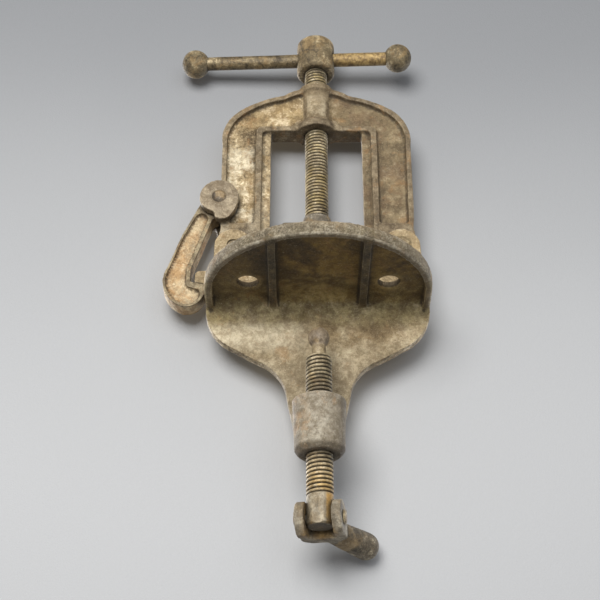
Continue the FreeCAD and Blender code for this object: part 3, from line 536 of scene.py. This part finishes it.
# ---------------------------------------------------------------- threaded screws
def turned(name, heights, radius_at, centre, around=96):
    """A round solid about a vertical line: radius_at(angle, z) gives its surface."""
    across_end = (0.3, 0.6, 0.85, 0.97)
    rings = [(heights[0], share) for share in across_end]
    rings += [(z, 1.0) for z in heights]
    rings += [(heights[-1], share) for share in reversed(across_end)]
    vertices = []
    for z, share in rings:
        for step in range(around):
            angle = 2 * math.pi * step / around
            radius = radius_at(angle, z) * share
            vertices.append((centre.x + radius * math.cos(angle),
                             centre.y + radius * math.sin(angle), z))
    faces = []
    for ring in range(len(rings) - 1):
        for step in range(around):
            after = (step + 1) % around
            low, high = ring * around, (ring + 1) * around
            faces.append((low + step, low + after, high + after, high + step))
    faces.append(tuple(reversed(range(around))))
    last = (len(rings) - 1) * around
    faces.append(tuple(last + step for step in range(around)))
    mesh = bpy.data.meshes.new(name)
    mesh.from_pydata(vertices, [], faces)
    mesh.shade_smooth()
    mesh.set_sharp_from_angle(angle=math.radians(50))
    item = bpy.data.objects.new(name, mesh)
    bpy.context.scene.collection.objects.link(item)
    return item


PITCH = 2.54 * MM
THREAD_DEPTH = 1.2 * MM
CREST_SHARE = 0.42
FLANK_SHARE = 0.50


def thread_drop(angle, z):
    """How far a right-hand thread lies below its crest: flat crests, straight flanks."""
    phase = (z / PITCH - angle / (2 * math.pi)) % 1.0
    away = abs(phase - 0.5) * 2
    return THREAD_DEPTH * min(1.0, max(0.0, (away - CREST_SHARE) / FLANK_SHARE))


def fade(value, low, high):
    """Rises from 0 to 1 as the value goes from low to high."""
    return min(1.0, max(0.0, (value - low) / (high - low)))


def steps(low, high, step):
    count = max(2, round((high - low) / step))
    return [low + (high - low) * index / count for index in range(count + 1)]


def make_main_screw():
    low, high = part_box("main_screw")
    radius = radius_of("main_screw")
    bottom, top = low[2], high[2]
    chamfer = 1.2 * MM

    def radius_at(angle, z):
        run_in = fade(z, bottom + 1 * MM, bottom + 3 * MM)
        cut = chamfer * (1 - fade(z, bottom, bottom + chamfer))
        return radius - thread_drop(angle, z) * run_in - cut

    item = turned("main_screw_thread", steps(bottom, top, PITCH / 12), radius_at, SCREW_AXIS)
    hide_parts("main_screw")
    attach(item, "screw")
    return item


def make_clamp_screw():
    """The thread ends above a shank with a flat on each side and on its front and back."""
    low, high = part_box("clamp_screw")
    radius = radius_of("clamp_screw")
    bottom, top = low[2], high[2]
    thread_end = bottom + 18.4 * MM
    run_out = 1.2 * MM
    flat_top = bottom + 15.5 * MM
    front_fade = 4 * MM
    side_flat = 7.6 * MM
    front_flat = 7.25 * MM
    bottom_chamfer = (0.9 * MM, 1.2 * MM)
    top_chamfer = (0.8 * MM, 1.0 * MM)

    def radius_at(angle, z):
        thread = fade(z, thread_end - run_out, thread_end + run_out)
        here = radius - thread_drop(angle, z) * thread
        here -= bottom_chamfer[0] * (1 - fade(z, bottom, bottom + bottom_chamfer[1]))
        here -= top_chamfer[0] * fade(z, top - top_chamfer[1], top)
        if z < flat_top:
            front = front_flat + (radius - front_flat) * fade(z, flat_top - front_fade, flat_top)
            here = min(here, side_flat / max(1e-6, abs(math.cos(angle + HANDLE_TURN))))
            here = min(here, front / max(1e-6, abs(math.sin(angle + HANDLE_TURN))))
        return here

    item = turned("clamp_screw_thread", steps(bottom, top, PITCH / 12), radius_at, CLAMP_AXIS)
    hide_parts("clamp_screw")
    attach(item, "clamp_screw")
    return item


# ---------------------------------------------------------------- stage and light
def cloth_finish(fade_from, fade_to):
    """Pale grey cloth with a painted light falloff, darker towards the top, clear beyond a distance
    from its middle and clear from behind.
    """
    g = Graph("cloth")
    weave = g.noise(900, 3, 0.6)
    # Painted light falloff: the cloth darkens towards the top, with broad noise as painted shading
    # of soft folds.
    shade = g.math("ADD_FREE", g.axis("Z"), g.math("MULTIPLY_FREE", g.noise(3.2, 2, 0.5), 0.12))
    colour = g.ramp(g.band_linear(shade, 0.36, -0.10),
                    [(0.0, (0.195, 0.201, 0.210)), (1.0, (0.375, 0.380, 0.388))])
    shader = g.tree.nodes.new("ShaderNodeBsdfPrincipled")
    shader.inputs["Roughness"].default_value = 0.9
    shader.inputs["Specular IOR Level"].default_value = 0.15
    g.link(colour, shader.inputs["Base Color"])
    g.link(g.bump([(weave, 0.0002)]), shader.inputs["Normal"])
    clear = g.tree.nodes.new("ShaderNodeBsdfTransparent")
    length = g.tree.nodes.new("ShaderNodeVectorMath")
    length.operation = "LENGTH"
    g.link(g.coordinates, length.inputs[0])
    rim = g.band(length.outputs["Value"], fade_from, fade_to)
    behind = g.tree.nodes.new("ShaderNodeNewGeometry").outputs["Backfacing"]
    hide = g.math("MAXIMUM", rim, behind)
    mixer = g.tree.nodes.new("ShaderNodeMixShader")
    g.link(hide, mixer.inputs[0])
    g.link(shader.outputs[0], mixer.inputs[1])
    g.link(clear.outputs[0], mixer.inputs[2])
    g.link(mixer.outputs[0], g.output.inputs["Surface"])
    return g.material


def make_backdrop():
    """The cloth the vise lies on: a sheet close behind it, which casts no shadow on its back."""
    count = 60
    half = 0.62
    gap = 0.004
    vertices = []
    for row in range(count + 1):
        for column in range(count + 1):
            x = half * (2 * column / count - 1)
            z = half * (2 * row / count - 1)
            fold = 0.0016 * math.sin(9 * x + 4 * z) + 0.0012 * math.sin(13 * z - 5 * x + 1)
            vertices.append((x, fold, z))
    faces = []
    for row in range(count):
        for column in range(count):
            corner = row * (count + 1) + column
            faces.append((corner, corner + 1, corner + count + 2, corner + count + 1))
    mesh = bpy.data.meshes.new("cloth")
    mesh.from_pydata(vertices, [], faces)
    mesh.shade_smooth()
    mesh.materials.append(cloth_finish(0.42, half))
    sheet = bpy.data.objects.new("cloth", mesh)
    sheet.location = (0, BACK + gap, 0.03)
    sheet.visible_shadow = False
    bpy.context.scene.collection.objects.link(sheet)


def area_light(name, place, target, width, power, colour):
    data = bpy.data.lights.new(name, "AREA")
    data.shape = "DISK"
    data.size = width
    data.energy = power
    data.color = colour
    item = bpy.data.objects.new(name, data)
    item.location = place
    item.rotation_mode = "QUATERNION"
    item.rotation_quaternion = (Vector(target) - Vector(place)).to_track_quat("-Z", "Y")
    item.visible_camera = False
    bpy.context.scene.collection.objects.link(item)


def make_lights():
    centre = (0, YOKE_PLANE, 0.03)
    area_light("key", (-0.30, -1.30, 0.20), centre, 0.85, 27, (1.0, 0.985, 0.96))
    area_light("fill", (0.5, -1.4, 0.1), centre, 1.2, 6, (0.96, 0.98, 1.0))
    area_light("rear", (-0.9, 1.1, 0.6), centre, 1.0, 26, (1.0, 0.98, 0.96))
    area_light("rear_fill", (0.9, 1.2, 0.3), centre, 1.2, 10, (0.97, 0.98, 1.0))
    world = bpy.data.worlds.new("studio")
    world.use_nodes = True
    background = world.node_tree.nodes["Background"]
    background.inputs["Color"].default_value = (0.82, 0.83, 0.85, 1)
    background.inputs["Strength"].default_value = 0.40
    bpy.context.scene.world = world
    bpy.context.scene.view_settings.view_transform = "Standard"


# ---------------------------------------------------------------- make everything
make_camera()

TAN = dict(dark=(0.085, 0.056, 0.024), mid=(0.345, 0.265, 0.150), light=(0.72, 0.62, 0.45),
           rust=(0.30, 0.16, 0.055))
BROWN = dict(dark=(0.050, 0.036, 0.018), mid=(0.170, 0.130, 0.070), light=(0.38, 0.31, 0.195),
             rust=(0.25, 0.145, 0.050))
BRONZE = dict(dark=(0.085, 0.065, 0.036), mid=(0.25, 0.205, 0.125), light=(0.48, 0.41, 0.29),
              rust=(0.30, 0.17, 0.060))

FINISHES = {
    "base_casting": old_metal("base_iron", **TAN, zones=base_zones),
    "yoke": old_metal("yoke_iron", **TAN, zones=yoke_zones, rust_share=0.5),
    "latch_rivet": old_metal("rivet_steel", dark=(0.06, 0.045, 0.03), mid=(0.19, 0.155, 0.115),
                             light=(0.33, 0.275, 0.205), rust=(0.20, 0.12, 0.06), grain=0.5,
                             worn=0.1),
    "latch_hook": old_metal("hook_iron", dark=(0.13, 0.085, 0.042), mid=(0.41, 0.285, 0.155),
                            light=(0.66, 0.56, 0.40), rust=(0.42, 0.20, 0.06), zones=hook_zones),
    "upper_jaw": old_metal("jaw_iron", dark=(0.06, 0.05, 0.036), mid=(0.155, 0.135, 0.105),
                           light=(0.30, 0.27, 0.22), rust=(0.16, 0.10, 0.05)),
    "lower_jaw": old_metal("jaw_steel", **BROWN, worn=0.15),
    "screw_head": old_metal("head_iron", **BROWN, polish=0.08),
    # The handle gets weaker painted shade in its hollows.
    "clamp_handle": old_metal("handle_iron", dark=(0.048, 0.037, 0.022), mid=(0.138, 0.113, 0.076),
                              light=(0.34, 0.30, 0.22), rust=(0.21, 0.13, 0.055),
                              zones=handle_zones, polish=0.05, ao_shade_strength=0.45),
    "tommy_bar": old_metal("bar_steel", **BROWN, zones=bar_zones, polish=0.15, grain=0.5,
                           metallic=0.3),
    "bar_ball_left": old_metal("ball_iron", dark=(0.044, 0.032, 0.016), mid=(0.148, 0.116, 0.064),
                               light=(0.34, 0.28, 0.175), rust=(0.22, 0.13, 0.045), rust_share=0.6),
    "clamp_ball_tip": old_metal("tip_steel", dark=(0.12, 0.090, 0.058), mid=(0.205, 0.160, 0.110),
                                light=(0.28, 0.235, 0.175), rust=(0.22, 0.15, 0.08),
                                zones=tip_zones, polish=0.12, grain=0.3),
    "main_screw_thread": old_metal("screw_steel", **BRONZE, metallic=0.2, grain=0.4, polish=0.1,
                                   warm_tint=(0.36, 0.27, 0.095), zones=main_screw_zones),
    "clamp_screw_thread": old_metal("clamp_steel", **BRONZE, metallic=0.2, grain=0.4, polish=0.1,
                                    zones=clamp_screw_zones),
    "pin_steel": old_metal("pin_steel", **BROWN, grain=0.5),
}
FINISHES["bar_ball_right"] = FINISHES["bar_ball_left"]

for item in (make_main_screw(), make_clamp_screw()):
    item.data.materials.append(FINISHES[item.name])

for part in frame["record"]["subparts"]:
    item = NODES[part["node"]]
    item.data.materials.clear()
    item.data.materials.append(FINISHES.get(part["node"], FINISHES["pin_steel"]))

cast("base_casting", 1.0, 4)
cast("yoke", 0.9, 3)
cast("latch_hook", 0.7, 2)
cast("upper_jaw", 0.7, 2)
cast("clamp_handle", 0.7, 12)
cast("screw_head", 0.7, 4)
for node in ("tommy_bar", "bar_ball_left", "bar_ball_right", "clamp_ball_tip", "lower_jaw"):
    cast(node, 0.5, 1, 0.3, 0.15)

make_backdrop()
make_lights()
